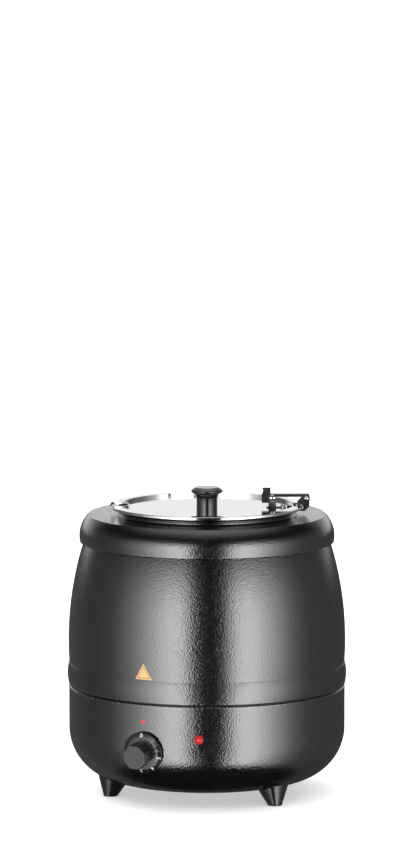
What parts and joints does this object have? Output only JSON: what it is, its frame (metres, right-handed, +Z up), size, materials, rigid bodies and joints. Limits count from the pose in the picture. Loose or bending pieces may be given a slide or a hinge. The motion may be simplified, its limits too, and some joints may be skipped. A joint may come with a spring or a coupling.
{
  "type": "soup kettle",
  "caption": "Wet-heat electric soup kettle: black jacket on short feet, heated steel well, lift-out pot, black cover ring, and a steel lid on a clip-on hinge",
  "frame": {"origin": "on the floor, at the centre of the object's outline in plan", "axes": "+Z up along the kettle's axis, -Y the front with the thermostat knob and pilot lamp, +X the side of the lid hinge"},
  "size_m": [0.3405, 0.359, 0.3765],
  "materials": {
    "black_paint": "glossy black hammer-finish enamel",
    "brushed_steel": "brushed stainless steel",
    "polished_steel": "polished stainless steel",
    "zinc": "bright zinc-plated steel",
    "aluminium": "plain aluminium",
    "element_sheath": "dull nickel-alloy sheath",
    "ceramic": "glazed ceramic",
    "copper": "drawn copper",
    "beige_plastic": "moulded phenolic",
    "white_plastic": "moulded nylon",
    "brass": "machined brass",
    "red_lens": "clear red moulded lens",
    "brown_wire": "silicone insulation",
    "blue_wire": "silicone insulation",
    "green_wire": "silicone insulation",
    "black_plastic": "glossy black moulded plastic",
    "knob_plastic": "satin black phenolic",
    "red_mark": "printed dot",
    "label": "printed amber label",
    "rubber": "soft black rubber",
    "blackened_steel": "blackened steel"
  },
  "bodies": {
    "kettle": {"upper_shell": "black_paint", "lower_shell": "black_paint", "well": "brushed_steel", "flange_screws": "zinc", "base_plate": "zinc", "base_screws": "zinc", "heater_plate": "aluminium", "heating_element": "element_sheath", "heat_shield": "brushed_steel", "tie_studs": "zinc", "tie_nuts": "zinc", "thermal_cutout": "ceramic", "sensor_bulb": "copper", "capillary": "copper", "sensor_clip": "zinc", "thermostat": "beige_plastic", "thermostat_bracket": "zinc", "thermostat_screws": "zinc", "lamp_lens": "red_lens", "lamp_body": "white_plastic", "terminal_block": "white_plastic", "terminal_screws": "brass", "live_wires": "brown_wire", "neutral_wires": "blue_wire", "earth_wire": "green_wire", "earth_stud": "brass", "cord_gland": "black_plastic", "gland_nut": "zinc", "foot_left": "black_plastic", "foot_right": "black_plastic", "foot_rear": "black_plastic", "foot_screws": "zinc", "index_dot": "red_mark", "caution_label": "label"},
    "knob": {"knob_grip": "knob_plastic", "knob_skirt": "knob_plastic", "thermostat_shaft": "zinc"},
    "pot": {"inner_pot": "polished_steel"},
    "ring": {"cover_ring": "black_paint"},
    "clip": {"clip_body": "polished_steel", "clip_jaw": "polished_steel", "jaw_rivet": "polished_steel", "jaw_pad": "rubber"},
    "arm": {"hinge_arm": "polished_steel", "stop_tab": "blackened_steel", "clip_pin": "polished_steel", "lid_pin": "polished_steel"},
    "lid": {"lid_plate": "polished_steel", "lid_knob": "knob_plastic", "lid_knob_screw": "zinc", "lid_knob_washer": "zinc", "hinge_bracket": "polished_steel", "bracket_rivets": "polished_steel"}
  },
  "joints": [
    {"name": "knob_turn", "type": "hinge", "parent": "kettle", "child": "knob", "pos_m": [-0.07609, -0.15129, 0.07619], "axis": [-0.4469, -0.8885, -0.1045], "range_deg": [-270, 0]},
    {"name": "pot_lift", "type": "slide", "parent": "kettle", "child": "pot", "axis": [0, 0, 1], "range_m": [0, 0.305]},
    {"name": "ring_lift", "type": "slide", "parent": "pot", "child": "ring", "axis": [0, 0, 1], "range_m": [0, 0.1]},
    {"name": "clip_lift", "type": "slide", "parent": "ring", "child": "clip", "axis": [0, 0, 1], "range_m": [0, 0.076]},
    {"name": "arm_hinge", "type": "hinge", "parent": "clip", "child": "arm", "pos_m": [0.121, 0, 0.3634], "axis": [0, -1, 0], "range_deg": [-115, 0]},
    {"name": "lid_hinge", "type": "hinge", "parent": "arm", "child": "lid", "pos_m": [0.0795, 0, 0.3634], "axis": [0, -1, 0], "range_deg": [0, 18]}
  ],
  "couplings": [
    {"joint": "lid_hinge", "follows": "arm_hinge", "ratio": -0.15652}
  ]
}
